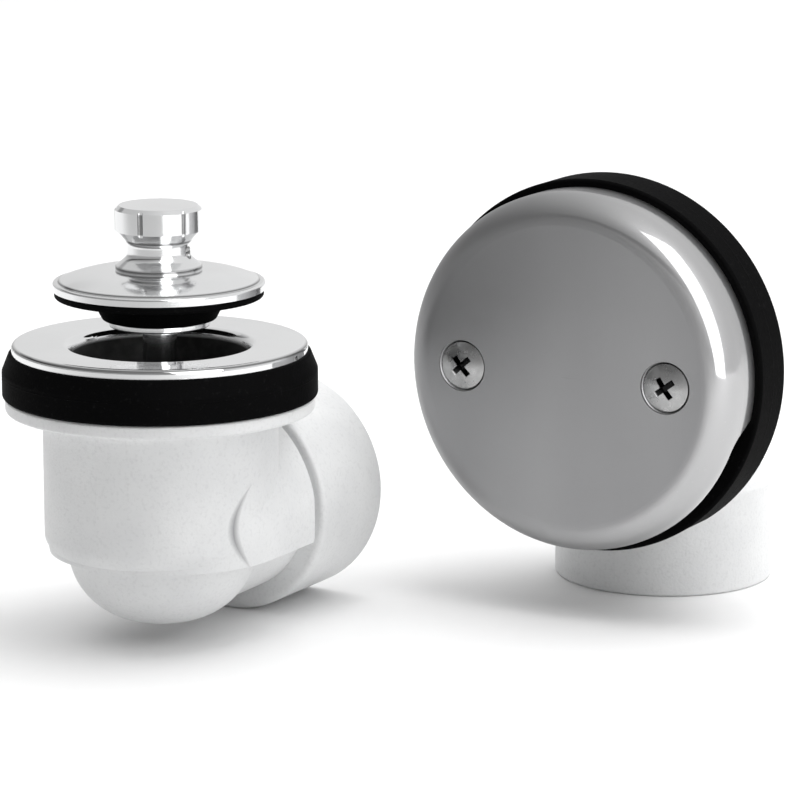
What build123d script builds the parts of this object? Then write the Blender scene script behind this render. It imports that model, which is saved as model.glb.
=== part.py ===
from build123d import *
import os

# Bath waste and overflow, in millimetres, +Z up. The waste shoe with its lift-and-turn stopper stands on
# the left, and the overflow elbow with its faceplate stands on the right. Both stand on the floor, z = 0.

# Fits shared by several pieces
THREAD_GAP = 0.1
RUNNING_GAP = 0.1
SEAT_GAP = 0.3

# Pipe that the two hubs take, and the hubs
SOCKET_R = 24.2
SOCKET_DEPTH = 19.0
WATERWAY_R = 20.4
HUB_WALL = 4.6
HUB_EDGE = 0.8

# Waste shoe
SHOE_HEIGHT = 62.0
SHOE_FLANGE_R = 38.3
SHOE_FLANGE_T = 3.5
SHOE_FLANGE_ROOT = 3.0
BARREL_R = 29.2
BARREL_STEP_Z = 22.5
BARREL_EDGE = 5.0
BOWL_R = 23.6
BOWL_Z = 5.0
BOWL_EDGE = 19.0
BOWL_WALL = 3.8
CHEEK_R = 30.3
CHEEK_CENTRE_Y = 2.8
CHEEK_END_Y = 24.0
NECK_R = 23.4
OUTLET_HUB_Y = 30.6
OUTLET_HUB_LENGTH = 29.4
OUTLET_SHOULDER = 1.6
THREAD_DEPTH = 22.0

# Gasket under the bath floor
SHOE_GASKET_R = 39.0
SHOE_GASKET_T = 11.0
SHOE_GASKET_TOP_R = 37.2
SHOE_GASKET_BEVEL = 4.5

# Strainer
STRAINER_FLANGE_R = 36.6
STRAINER_FLANGE_T = 2.3
STRAINER_DISH = 0.6
STRAINER_ROLL = 1.1
STRAINER_BARREL_R = 23.8
STRAINER_WALL = 3.8
STRAINER_MOUTH_WALL = 1.2
STRAINER_FUNNEL = 9.0
STRAINER_LENGTH = 30.0
STRAINER_LIP = 2.0
CROSS_ARMS = 4
CROSS_ARM_WIDTH = 4.0
CROSS_ARM_HEIGHT = 4.0
CROSS_BOSS_R = 6.0
CROSS_BOSS_HEIGHT = 8.0

# Post, its cross pin and its ring
POST_R = 2.9
POST_THREAD_R = 4.0
POST_COLLAR_R = 5.4
POST_COLLAR_T = 3.0
POST_SLOT_WIDTH = 1.0
POST_SLOT_DEPTH = 1.2
PIN_R = 1.0
PIN_GAP = 0.05
PIN_ANGLE = 33.0
RING_SECTION_R = 0.6
RING_FROM_TOP = 4.0

# Stopper: how far it lifts, and its pieces from the seal's lip upwards
LIFT = 11.0
SEAL_LIP_R = 25.8
SEAL_LIP_T = 1.9
SEAL_BODY_R = 17.0
SEAL_FOOT_R = 14.0
SEAL_BODY_H = 5.6
RETAINER_R = 12.5
RETAINER_T = 1.7
DISC_R = 26.2
DISC_RIM_T = 2.0
DISC_CROWN = 2.9
DISC_LAND_R = 11.4
DISC_ROLL = 0.6
DISC_LEDGE = 1.2
DISC_STEP = 0.4
SPIGOT_R = 8.0
KNOB_R = 10.7
KNOB_FOOT_T = 0.9
KNOB_NECK_R = 7.85
KNOB_NECK_Z = 3.2
KNOB_NECK_LENGTH = 3.6
KNOB_HEAD_Z = 9.7
KNOB_HEAD_H = 5.2
KNOB_BEVEL = 1.0
KNOB_ROOF = 4.0
KNOB_CURVE = 2.4
KNOB_FLUTES = 6
KNOB_FLUTE_TURN = 38.5
FLUTE_R = 0.7
FLUTE_DEPTH = 0.6
SET_SCREW_R = 1.5
SET_SCREW_Z = 4.4
SET_SCREW_ANGLE = 11.0
SET_SCREW_SUNK = 0.3

# Lift sleeve inside the stopper
SLEEVE_R = 4.3
SLEEVE_COLLAR_R = 5.8
SLEEVE_COLLAR_T = 1.2
SLEEVE_TAIL = 7.0
SLEEVE_GROOVE = 0.5

# Overflow elbow
OVERFLOW_AXIS_Z = 63.3
ELBOW_TUBE_R = 25.0
ELBOW_FLANGE_R = 41.5
ELBOW_FLANGE_T = 4.0
ELBOW_REACH = 31.0
OVERFLOW_HUB_HEIGHT = 26.0
OVERFLOW_HUB_BEVEL = 3.0
SCREW_SPACING = 57.15
SCREW_BOSS_R = 7.0
SCREW_BOSS_LENGTH = 10.0
INSERT_R = 4.5
INSERT_LENGTH = 12.0

# Overflow gasket
WALL_GASKET_R = 48.0
WALL_GASKET_T = 14.0
WALL_GASKET_LIP = 2.0
WALL_GASKET_FLAT = 39.5
WALL_GASKET_HOLE_R = 22.0

# Overflow faceplate
PLATE_R = 46.0
PLATE_DEPTH = 15.5
PLATE_SHEET = 1.2
PLATE_DOME = 0.9
PLATE_EDGE = 8.0
PLATE_RIM_DEPTH = 8.6
PLATE_CUT_TOP = 9.0
PLATE_CUT_DROP = 5.0
PLATE_CUT_CORNER = 3.0
PLATE_CUT_CURVE = 6.0

# Faceplate screws
SCREW_R = 3.0
SCREW_LENGTH = 39.0
SCREW_HEAD_R = 6.6
SCREW_HEAD_CROWN = 1.3
SCREW_HEAD_CONE = 3.6
SCREW_TIP = 0.8
RECESS_SPAN = 6.4
RECESS_WIDTH = 1.4
RECESS_DEPTH = 2.4
RECESS_TURNS = (42.0, 36.0)
DIMPLE_WALL = 1.2
DIMPLE_START = 0.65

# Where the faceplate's front stands, from the axis of the waste
PLATE_X = 80.0
PLATE_Y = 61.0

# Places that follow from the sizes above
HUB_R = SOCKET_R + HUB_WALL
OUTLET_Z = HUB_R
OUTLET_END_Y = OUTLET_HUB_Y + OUTLET_HUB_LENGTH
GASKET_TOP_Z = SHOE_HEIGHT + SHOE_GASKET_T
STRAINER_TOP_Z = GASKET_TOP_Z + STRAINER_FLANGE_T
STRAINER_BORE_R = STRAINER_BARREL_R - STRAINER_WALL
STRAINER_MOUTH_R = STRAINER_BARREL_R - STRAINER_MOUTH_WALL
STRAINER_LOW_Z = GASKET_TOP_Z - STRAINER_LENGTH
BOSS_TOP_Z = STRAINER_LOW_Z + CROSS_BOSS_HEIGHT
SEAL_LIP_Z = STRAINER_TOP_Z + SEAT_GAP + LIFT
DISC_Z = SEAL_LIP_Z + SEAL_LIP_T
SEAL_LOW_Z = SEAL_LIP_Z - SEAL_BODY_H
RETAINER_LOW_Z = SEAL_LOW_Z - RETAINER_T
CROWN_Z = DISC_Z + DISC_RIM_T + DISC_CROWN
KNOB_TOP_Z = CROWN_Z + KNOB_HEAD_Z + KNOB_HEAD_H + KNOB_BEVEL
KNOB_ROOF_Z = KNOB_TOP_Z - KNOB_ROOF
SLEEVE_COLLAR_Z = RETAINER_LOW_Z - SEAT_GAP
SLEEVE_LOW_Z = SLEEVE_COLLAR_Z - SLEEVE_COLLAR_T - SLEEVE_TAIL
SLEEVE_TOP_Z = KNOB_ROOF_Z - SEAT_GAP
SLEEVE_BORE_R = POST_R + RUNNING_GAP
PIN_HALF_LENGTH = SLEEVE_R - SEAT_GAP
PIN_Z = SLEEVE_LOW_Z + PIN_R + 2 * PIN_R
POST_TOP_Z = KNOB_ROOF_Z - LIFT - SEAT_GAP
RING_Z = POST_TOP_Z - RING_FROM_TOP
SET_SCREW_HEIGHT = CROWN_Z + SET_SCREW_Z
WALL_GASKET_Y = PLATE_DEPTH
ELBOW_FLANGE_Y = WALL_GASKET_Y + WALL_GASKET_T
OVERFLOW_HUB_Y = ELBOW_FLANGE_Y + ELBOW_REACH
INSERT_HOLE_R = INSERT_R + PIN_GAP
SCREW_XS = (-SCREW_SPACING / 2, SCREW_SPACING / 2)

BACKWARD = Rot(-90, 0, 0)


def turned(points, radii):
    """A solid of revolution about Z, from a closed outline of (radius, height) corners."""
    outline = make_face(FilletPolyline(*points, radius=radii, close=True))
    return revolve(Plane.XZ * outline, Axis.Z)


def rod(radius, low, high):
    """An upright cylinder between two heights."""
    return Pos(0, 0, low) * Cylinder(radius, high - low, align=(Align.CENTER, Align.CENTER, Align.MIN))


def level_rod(radius, near, far):
    """A cylinder along +Y between two distances."""
    return BACKWARD * rod(radius, near, far)


# Waste shoe


def shoe_outside():
    """Flanged barrel, bowl below its step, cheeks, neck and the outlet's hub."""
    flange_low = SHOE_HEIGHT - SHOE_FLANGE_T
    barrel = turned(
        [
            (0, BARREL_STEP_Z),
            (BARREL_R, BARREL_STEP_Z),
            (BARREL_R, flange_low),
            (SHOE_FLANGE_R, flange_low),
            (SHOE_FLANGE_R, SHOE_HEIGHT),
            (0, SHOE_HEIGHT),
        ],
        [0, BARREL_EDGE, SHOE_FLANGE_ROOT, HUB_EDGE, HUB_EDGE, 0],
    )
    bowl_top = BARREL_STEP_Z + BARREL_EDGE
    bowl = turned(
        [(0, BOWL_Z), (BOWL_R, BOWL_Z), (BOWL_R, bowl_top), (0, bowl_top)],
        [0, BOWL_EDGE, 0, 0],
    )
    outlet = Pos(0, 0, OUTLET_Z)
    cheeks = Pos(0, CHEEK_CENTRE_Y, OUTLET_Z) * Sphere(CHEEK_R)
    cheeks += outlet * level_rod(CHEEK_R, CHEEK_CENTRE_Y, CHEEK_END_Y)
    above_step = Pos(0, 0, BARREL_STEP_Z) * Cylinder(
        SHOE_FLANGE_R, flange_low - BARREL_STEP_Z, align=(Align.CENTER, Align.CENTER, Align.MIN)
    )
    hub = BACKWARD * turned(
        [(0, OUTLET_HUB_Y), (HUB_R, OUTLET_HUB_Y), (HUB_R, OUTLET_END_Y), (0, OUTLET_END_Y)],
        [0, OUTLET_SHOULDER, HUB_EDGE, 0],
    )
    neck = level_rod(NECK_R, 0, OUTLET_HUB_Y + HUB_WALL)
    return barrel + bowl + (cheeks & above_step) + outlet * (neck + hub)


def waste_shoe():
    """The moulded shoe, hollow from its threaded mouth to the outlet's pipe socket."""
    thread_low = SHOE_HEIGHT - THREAD_DEPTH
    inner_r = BOWL_R - BOWL_WALL
    bowl_hollow = turned(
        [(0, BOWL_Z + BOWL_WALL), (inner_r, BOWL_Z + BOWL_WALL), (inner_r, SHOE_HEIGHT), (0, SHOE_HEIGHT)],
        [0, BOWL_EDGE - BOWL_WALL, 0, 0],
    )
    socket_y = OUTLET_END_Y - SOCKET_DEPTH
    waterway = level_rod(WATERWAY_R, 0, OUTLET_END_Y) + level_rod(SOCKET_R, socket_y, OUTLET_END_Y)
    mouth = rod(STRAINER_BARREL_R + THREAD_GAP, thread_low, SHOE_HEIGHT)
    return shoe_outside() - bowl_hollow - mouth - Pos(0, 0, OUTLET_Z) * waterway


def shoe_gasket():
    """Thick rubber ring between the shoe and the underside of the bath."""
    hole_r = STRAINER_BARREL_R + 2 * SEAT_GAP
    return turned(
        [
            (hole_r, SHOE_HEIGHT),
            (SHOE_GASKET_R, SHOE_HEIGHT),
            (SHOE_GASKET_R, GASKET_TOP_Z - SHOE_GASKET_BEVEL),
            (SHOE_GASKET_TOP_R, GASKET_TOP_Z),
            (hole_r, GASKET_TOP_Z),
        ],
        [0, HUB_EDGE, HUB_EDGE, HUB_EDGE, 0],
    )


# Strainer and its post


def strainer_body():
    """Flanged strainer: dished flange, rolled lip, funnel, barrel, and a cross that holds the post's boss."""
    shell = turned(
        [
            (STRAINER_BORE_R, STRAINER_LOW_Z),
            (STRAINER_BARREL_R, STRAINER_LOW_Z),
            (STRAINER_BARREL_R, GASKET_TOP_Z),
            (STRAINER_FLANGE_R, GASKET_TOP_Z),
            (STRAINER_FLANGE_R, STRAINER_TOP_Z),
            (STRAINER_MOUTH_R, STRAINER_TOP_Z - STRAINER_DISH),
            (STRAINER_BORE_R, STRAINER_TOP_Z - STRAINER_FUNNEL),
        ],
        [0, 0, 0, 0, STRAINER_ROLL, STRAINER_LIP, STRAINER_LIP],
    )
    arm_length = (STRAINER_BORE_R + STRAINER_BARREL_R) / 2
    arm = Pos(0, 0, STRAINER_LOW_Z) * Box(
        arm_length, CROSS_ARM_WIDTH, CROSS_ARM_HEIGHT, align=(Align.MIN, Align.CENTER, Align.MIN)
    )
    cross = rod(CROSS_BOSS_R, STRAINER_LOW_Z, BOSS_TOP_Z)
    for index in range(CROSS_ARMS):
        cross += Rot(0, 0, 360 * index / CROSS_ARMS) * arm
    return shell + cross - rod(POST_THREAD_R + PIN_GAP, STRAINER_LOW_Z, BOSS_TOP_Z)


def stopper_post():
    """Post screwed into the boss, with a collar, a cross hole for the pin, a ring groove and a driver slot."""
    collar_top = BOSS_TOP_Z + POST_COLLAR_T
    post = rod(POST_THREAD_R, STRAINER_LOW_Z, BOSS_TOP_Z)
    post += rod(POST_COLLAR_R, BOSS_TOP_Z, collar_top)
    post += rod(POST_R, collar_top, POST_TOP_Z)
    groove_r = POST_R - 2 * RING_SECTION_R + PIN_GAP
    groove = rod(POST_R + RUNNING_GAP, RING_Z - RING_SECTION_R, RING_Z + RING_SECTION_R)
    groove -= rod(groove_r, RING_Z - RING_SECTION_R, RING_Z + RING_SECTION_R)
    slot = Pos(0, 0, POST_TOP_Z) * Box(2 * POST_SLOT_DEPTH + 2 * POST_R, POST_SLOT_WIDTH, 2 * POST_SLOT_DEPTH)
    return post - groove - slot - pin_rod(PIN_R + PIN_GAP, 2 * POST_R)


def pin_rod(radius, half_length):
    """A level cylinder across the post, where the pin stands."""
    across = Rot(0, 90, 0) * Cylinder(radius, 2 * half_length)
    return Pos(0, 0, PIN_Z) * Rot(0, 0, PIN_ANGLE) * across


def cross_pin():
    """Pin through the post that stops the sleeve at both ends of its lift."""
    return pin_rod(PIN_R, PIN_HALF_LENGTH)


def post_o_ring():
    """Rubber ring in the post's groove that rubs in the sleeve."""
    return Pos(0, 0, RING_Z) * Torus(POST_R - RING_SECTION_R + PIN_GAP, RING_SECTION_R - PIN_GAP / 2)


# Stopper


def lift_sleeve():
    """Sleeve that slides on the post, slotted for the pin, with a collar that carries the stopper's head."""
    collar_low = SLEEVE_COLLAR_Z - SLEEVE_COLLAR_T
    sleeve = rod(SLEEVE_R, SLEEVE_LOW_Z, SLEEVE_TOP_Z) + rod(SLEEVE_COLLAR_R, collar_low, SLEEVE_COLLAR_Z)
    groove_half = SET_SCREW_R + RUNNING_GAP
    groove = rod(SLEEVE_R, SET_SCREW_HEIGHT - groove_half, SET_SCREW_HEIGHT + groove_half)
    groove -= rod(SLEEVE_R - SLEEVE_GROOVE, SET_SCREW_HEIGHT - groove_half, SET_SCREW_HEIGHT + groove_half)
    slot_half = PIN_R + RUNNING_GAP
    slot_section = Pos(0, LIFT / 2) * SlotCenterToCenter(LIFT, 2 * slot_half, rotation=90)
    slot = extrude(Plane.XZ * slot_section, amount=SLEEVE_COLLAR_R, both=True)
    slot = Pos(0, 0, PIN_Z) * Rot(0, 0, PIN_ANGLE + 90) * slot
    return sleeve - rod(SLEEVE_BORE_R, SLEEVE_LOW_Z, SLEEVE_TOP_Z) - groove - slot


def stopper_knob():
    """Turned knob: hollow spigot, flared foot on the disc, waisted neck and fluted head."""
    bore_r = SLEEVE_R + RUNNING_GAP
    foot_top = CROWN_Z + KNOB_FOOT_T
    neck_low = CROWN_Z + KNOB_NECK_Z
    head_low = CROWN_Z + KNOB_HEAD_Z
    head_top = KNOB_TOP_Z - KNOB_BEVEL
    knob = turned(
        [
            (0, RETAINER_LOW_Z),
            (SPIGOT_R, RETAINER_LOW_Z),
            (SPIGOT_R, CROWN_Z),
            (KNOB_R, CROWN_Z),
            (KNOB_R, foot_top),
            (KNOB_NECK_R, neck_low),
            (KNOB_NECK_R, neck_low + KNOB_NECK_LENGTH),
            (KNOB_R, head_low),
            (KNOB_R, head_top),
            (KNOB_R - KNOB_BEVEL, KNOB_TOP_Z),
            (0, KNOB_TOP_Z),
        ],
        [0, 0, 0, 0, 0, KNOB_CURVE, KNOB_CURVE, 0, 0, 0, 0],
    )
    flute = Pos(KNOB_R + FLUTE_R - FLUTE_DEPTH, 0, 0) * rod(FLUTE_R, neck_low + KNOB_NECK_LENGTH, KNOB_TOP_Z)
    for index in range(KNOB_FLUTES):
        knob -= Rot(0, 0, KNOB_FLUTE_TURN + 360 * index / KNOB_FLUTES) * flute
    knob -= rod(bore_r, RETAINER_LOW_Z, KNOB_ROOF_Z)
    return knob - set_screw_rod(SET_SCREW_R + PIN_GAP, 0, KNOB_R)


def set_screw_rod(radius, inner, outer):
    """A level cylinder through the neck's wall, between two distances from the axis."""
    return Pos(0, 0, SET_SCREW_HEIGHT) * Rot(0, 0, SET_SCREW_ANGLE - 90) * level_rod(radius, inner, outer)


def knob_set_screw():
    """Grub screw through the neck, its tip in the sleeve's groove, with a driver slot."""
    tip = SLEEVE_R - SLEEVE_GROOVE + RUNNING_GAP
    back = KNOB_NECK_R - SET_SCREW_SUNK
    slot = Pos(back, 0, 0) * Box(SET_SCREW_R, 4 * SET_SCREW_R, SET_SCREW_R / 3)
    slot = Pos(0, 0, SET_SCREW_HEIGHT) * Rot(0, 0, SET_SCREW_ANGLE) * slot
    return set_screw_rod(SET_SCREW_R, tip, back) - slot


def stopper_disc():
    """Domed disc with a narrow ledge round its rim and a flat land for the knob's foot."""
    rim_top = DISC_Z + DISC_RIM_T
    dome_r = DISC_R - DISC_LEDGE
    dome_low = rim_top + DISC_STEP
    hole_r = SPIGOT_R + PIN_GAP
    rim = Polyline(
        (DISC_LAND_R, CROWN_Z),
        (hole_r, CROWN_Z),
        (hole_r, DISC_Z),
        (DISC_R, DISC_Z),
        (DISC_R, rim_top),
        (dome_r, rim_top),
        (dome_r - DISC_STEP, dome_low),
    )
    crown = TangentArc((DISC_LAND_R, CROWN_Z), (dome_r - DISC_STEP, dome_low), tangent=(1, 0))
    outline = make_face(Curve() + rim + crown)
    edge = min(outline.vertices(), key=lambda v: abs(v.X - DISC_R) + abs(v.Y - rim_top))
    return revolve(Plane.XZ * fillet(edge, DISC_ROLL), Axis.Z)


def stopper_seal():
    """Rubber seal: a thin lip under the disc and a tapered body that enters the strainer."""
    hole_r = SPIGOT_R + PIN_GAP
    return turned(
        [
            (hole_r, SEAL_LOW_Z),
            (SEAL_FOOT_R, SEAL_LOW_Z),
            (SEAL_BODY_R, SEAL_LIP_Z),
            (SEAL_LIP_R, SEAL_LIP_Z),
            (SEAL_LIP_R, DISC_Z),
            (hole_r, DISC_Z),
        ],
        [0, HUB_EDGE, HUB_EDGE, SEAL_LIP_T / 3, SEAL_LIP_T / 3, 0],
    )


def seal_retainer():
    """Ring nut on the spigot that holds the seal up against the disc."""
    hole_r = SPIGOT_R + PIN_GAP
    edge = RETAINER_T / 4
    return turned(
        [
            (hole_r, RETAINER_LOW_Z),
            (RETAINER_R, RETAINER_LOW_Z),
            (RETAINER_R, SEAL_LOW_Z),
            (hole_r, SEAL_LOW_Z),
        ],
        [0, edge, edge, 0],
    )


# Overflow, with y = 0 at the faceplate's front and the hub's axis behind it


def overflow_elbow():
    """Moulded elbow: wall flange, level arm, rounded heel, hub for the pipe and two screw bosses."""
    heel = (0, OVERFLOW_HUB_Y, OVERFLOW_AXIS_Z)
    arm_axis = Pos(0, 0, OVERFLOW_AXIS_Z)
    hub_axis = Pos(0, OVERFLOW_HUB_Y, 0)
    flange_back = ELBOW_FLANGE_Y + ELBOW_FLANGE_T
    hub_top = OVERFLOW_HUB_HEIGHT + OVERFLOW_HUB_BEVEL
    body = arm_axis * BACKWARD * turned(
        [
            (0, ELBOW_FLANGE_Y),
            (ELBOW_FLANGE_R, ELBOW_FLANGE_Y),
            (ELBOW_FLANGE_R, flange_back),
            (0, flange_back),
        ],
        [0, HUB_EDGE, HUB_EDGE, 0],
    )
    body += arm_axis * level_rod(ELBOW_TUBE_R, ELBOW_FLANGE_Y, OVERFLOW_HUB_Y)
    body += Pos(*heel) * Sphere(ELBOW_TUBE_R)
    body += hub_axis * rod(ELBOW_TUBE_R, OVERFLOW_HUB_HEIGHT, OVERFLOW_AXIS_Z)
    body += hub_axis * turned(
        [
            (0, 0),
            (HUB_R, 0),
            (HUB_R, OVERFLOW_HUB_HEIGHT),
            (HUB_R - OVERFLOW_HUB_BEVEL, hub_top),
            (0, hub_top),
        ],
        [0, HUB_EDGE, HUB_EDGE, HUB_EDGE, 0],
    )
    for x in SCREW_XS:
        body += Pos(x, 0, 0) * arm_axis * level_rod(SCREW_BOSS_R, flange_back, flange_back + SCREW_BOSS_LENGTH)
    body -= arm_axis * level_rod(WATERWAY_R, ELBOW_FLANGE_Y, OVERFLOW_HUB_Y)
    body -= Pos(*heel) * Sphere(WATERWAY_R)
    body -= hub_axis * rod(WATERWAY_R, 0, OVERFLOW_AXIS_Z)
    body -= hub_axis * rod(SOCKET_R, 0, SOCKET_DEPTH)
    for x in SCREW_XS:
        body -= Pos(x, 0, 0) * arm_axis * level_rod(
            INSERT_HOLE_R, ELBOW_FLANGE_Y, ELBOW_FLANGE_Y + INSERT_LENGTH
        )
    return body


def screw_insert(x):
    """Brass thread insert in one of the elbow's bosses."""
    end = ELBOW_FLANGE_Y + INSERT_LENGTH
    ring = level_rod(INSERT_R, ELBOW_FLANGE_Y, end) - level_rod(SCREW_R + THREAD_GAP, ELBOW_FLANGE_Y, end)
    return Pos(x, 0, OVERFLOW_AXIS_Z) * ring


def overflow_gasket():
    """Thick rubber gasket behind the bath's wall: a round front lip on a body that is cut flat below."""
    lip_end = WALL_GASKET_Y + WALL_GASKET_LIP
    end = WALL_GASKET_Y + WALL_GASKET_T
    gasket = BACKWARD * turned(
        [(0, WALL_GASKET_Y), (WALL_GASKET_R, WALL_GASKET_Y), (WALL_GASKET_R, end), (0, end)],
        [0, HUB_EDGE, HUB_EDGE, 0],
    )
    gasket -= Pos(0, lip_end, -WALL_GASKET_FLAT) * Box(
        2 * WALL_GASKET_R, WALL_GASKET_T, WALL_GASKET_R, align=(Align.CENTER, Align.MIN, Align.MAX)
    )
    gasket -= level_rod(WALL_GASKET_HOLE_R, WALL_GASKET_Y, end)
    for x in SCREW_XS:
        gasket -= Pos(x, 0, 0) * level_rod(SCREW_R + 2 * SEAT_GAP, WALL_GASKET_Y, end)
    return Pos(0, 0, OVERFLOW_AXIS_Z) * gasket


def domed_cap(radius, front, edge_radius):
    """A solid cap that faces -Y, with a slightly domed face and a rounded edge."""
    face = ThreePointArc((0, front), (radius / 2, front + PLATE_DOME / 4), (radius, front + PLATE_DOME))
    sides = Polyline((radius, front + PLATE_DOME), (radius, PLATE_DEPTH), (0, PLATE_DEPTH), (0, front))
    outline = make_face(Curve() + face + sides)
    rim = min(outline.vertices(), key=lambda v: abs(v.X - radius) + abs(v.Y - front - PLATE_DOME))
    outline = fillet(rim, edge_radius)
    return BACKWARD * revolve(Plane.XZ * outline, Axis.Z)


def overflow_faceplate():
    """Chromed cap with countersunk dimples for its screws and a skirt that is cut away below for water."""
    plate = domed_cap(PLATE_R, 0, PLATE_EDGE)
    plate -= domed_cap(PLATE_R - PLATE_SHEET, PLATE_SHEET, PLATE_EDGE - PLATE_SHEET)
    behind = PLATE_DEPTH + PLATE_RIM_DEPTH
    cut_low = -PLATE_CUT_TOP - PLATE_CUT_DROP
    window = make_face(
        FilletPolyline(
            (behind, -PLATE_CUT_TOP),
            (PLATE_DEPTH, -PLATE_CUT_TOP),
            (PLATE_RIM_DEPTH, cut_low),
            (PLATE_RIM_DEPTH, -2 * PLATE_R),
            (behind, -2 * PLATE_R),
            radius=[0, PLATE_CUT_CORNER, PLATE_CUT_CURVE, 0, 0],
            close=True,
        )
    )
    plate -= extrude(Plane.YZ * window, amount=PLATE_R, both=True)
    for x in SCREW_XS:
        plate += Pos(x, 0, 0) * screw_cone(DIMPLE_WALL, DIMPLE_START)
        plate -= Pos(x, 0, 0) * screw_cone(PIN_GAP, -SCREW_HEAD_CROWN)
        plate -= Pos(x, 0, 0) * level_rod(SCREW_R + SEAT_GAP, 0, PLATE_DEPTH)
    return Pos(0, 0, OVERFLOW_AXIS_Z) * plate


def screw_cone(gap, front):
    """The seat of a screw's head, grown by a gap, from a given front down to the shank."""
    head_r = SCREW_HEAD_R + gap
    depth = PLATE_DOME + SCREW_HEAD_CONE
    return BACKWARD * turned(
        [(0, front), (head_r, front), (head_r, PLATE_DOME), (SCREW_R + gap, depth), (0, depth)],
        [0, 0, 0, 0, 0],
    )


def faceplate_screw(x, turn):
    """Oval-headed screw with a cross recess, from the faceplate into its insert."""
    cone_end = PLATE_DOME + SCREW_HEAD_CONE
    end = PLATE_DOME + SCREW_LENGTH
    crown = ThreePointArc(
        (0, PLATE_DOME - SCREW_HEAD_CROWN),
        (SCREW_HEAD_R / 2, PLATE_DOME - SCREW_HEAD_CROWN * 3 / 4),
        (SCREW_HEAD_R, PLATE_DOME),
    )
    sides = Polyline(
        (SCREW_HEAD_R, PLATE_DOME),
        (SCREW_R, cone_end),
        (SCREW_R, end - SCREW_TIP),
        (SCREW_R - SCREW_TIP, end),
        (0, end),
        (0, PLATE_DOME - SCREW_HEAD_CROWN),
    )
    screw = BACKWARD * revolve(Plane.XZ * make_face(Curve() + crown + sides), Axis.Z)
    recess = Box(RECESS_SPAN, 2 * RECESS_DEPTH, RECESS_WIDTH) + Box(RECESS_WIDTH, 2 * RECESS_DEPTH, RECESS_SPAN)
    screw -= Pos(0, PLATE_DOME - SCREW_HEAD_CROWN, 0) * Rot(0, turn, 0) * recess
    return Pos(x, 0, OVERFLOW_AXIS_Z) * screw


def all_pieces():
    """Every piece by name, standing where it belongs, with the origin under the middle of the whole set."""
    waste = {
        "waste_shoe": waste_shoe(),
        "shoe_gasket": shoe_gasket(),
        "strainer_body": strainer_body(),
        "stopper_post": stopper_post(),
        "cross_pin": cross_pin(),
        "post_o_ring": post_o_ring(),
        "lift_sleeve": lift_sleeve(),
        "stopper_knob": stopper_knob(),
        "knob_set_screw": knob_set_screw(),
        "stopper_disc": stopper_disc(),
        "stopper_seal": stopper_seal(),
        "seal_retainer": seal_retainer(),
    }
    overflow = {
        "overflow_elbow": overflow_elbow(),
        "overflow_gasket": overflow_gasket(),
        "overflow_faceplate": overflow_faceplate(),
    }
    for side, x, turn in zip(("left", "right"), SCREW_XS, RECESS_TURNS):
        overflow["faceplate_screw_" + side] = faceplate_screw(x, turn)
        overflow["screw_insert_" + side] = screw_insert(x)
    stand = Pos(PLATE_X, PLATE_Y, 0)
    pieces = dict(waste)
    for name, piece in overflow.items():
        pieces[name] = stand * piece
    return pieces


PIECES = all_pieces()
WHOLE = Compound(children=[Compound(piece.solids()) for piece in PIECES.values()]).bounding_box()
ORIGIN = Vector(WHOLE.center().X, WHOLE.center().Y, 0)

os.makedirs("parts", exist_ok=True)
for node, piece in PIECES.items():
    export_step(Pos(-ORIGIN) * piece, os.path.join("parts", node + ".step"))
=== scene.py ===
"""Bath waste and overflow: finishes, fine detail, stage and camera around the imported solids."""
import math

import bmesh
import bpy
from bpy.props import FloatProperty, FloatVectorProperty, IntProperty, PointerProperty
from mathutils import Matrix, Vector


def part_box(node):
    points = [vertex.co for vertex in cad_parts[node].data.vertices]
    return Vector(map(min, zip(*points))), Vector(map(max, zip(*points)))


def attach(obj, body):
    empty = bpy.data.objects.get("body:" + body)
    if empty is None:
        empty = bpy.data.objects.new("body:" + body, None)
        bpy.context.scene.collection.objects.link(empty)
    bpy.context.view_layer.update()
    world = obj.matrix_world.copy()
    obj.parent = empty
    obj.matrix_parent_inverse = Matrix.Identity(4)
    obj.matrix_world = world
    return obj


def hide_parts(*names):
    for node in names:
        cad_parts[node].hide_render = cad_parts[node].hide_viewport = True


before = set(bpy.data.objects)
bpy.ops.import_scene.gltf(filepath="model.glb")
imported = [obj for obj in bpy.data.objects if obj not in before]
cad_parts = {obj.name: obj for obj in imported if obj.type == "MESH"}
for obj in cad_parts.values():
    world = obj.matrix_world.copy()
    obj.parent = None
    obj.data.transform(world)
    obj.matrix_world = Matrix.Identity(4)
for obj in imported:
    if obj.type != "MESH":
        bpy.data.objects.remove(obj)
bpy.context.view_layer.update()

bl_info = {
    "name": "Bath waste and overflow",
    "version": (1, 0, 0),
    "blender": (4, 5, 0),
    "location": "3D View > Sidebar > Bath set",
    "description": "Dresses a bath waste and overflow with moulded, rubber and chromed finishes",
    "category": "Object",
}

# Bodies and nodes of the frame
FIXED = "fixed_set"
RUBBER_PIECES = ("shoe_gasket", "overflow_gasket", "stopper_seal", "post_o_ring")
STOPPER_PIECES = ("stopper_knob", "stopper_disc", "seal_retainer", "lift_sleeve")
SIDES = ("left", "right")

X, Y, Z = range(3)

# 1 on the two axes across an axis, 0 along it
ACROSS_Y = (1, 0, 1)
ACROSS_Z = (1, 1, 0)


def ends(node):
    """A node's box, as its low and high corners."""
    return tuple(Vector(corner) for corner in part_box(node))


def middle(node):
    """The centre of a node's box."""
    low, high = ends(node)
    return (low + high) / 2


# Shader maths


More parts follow.
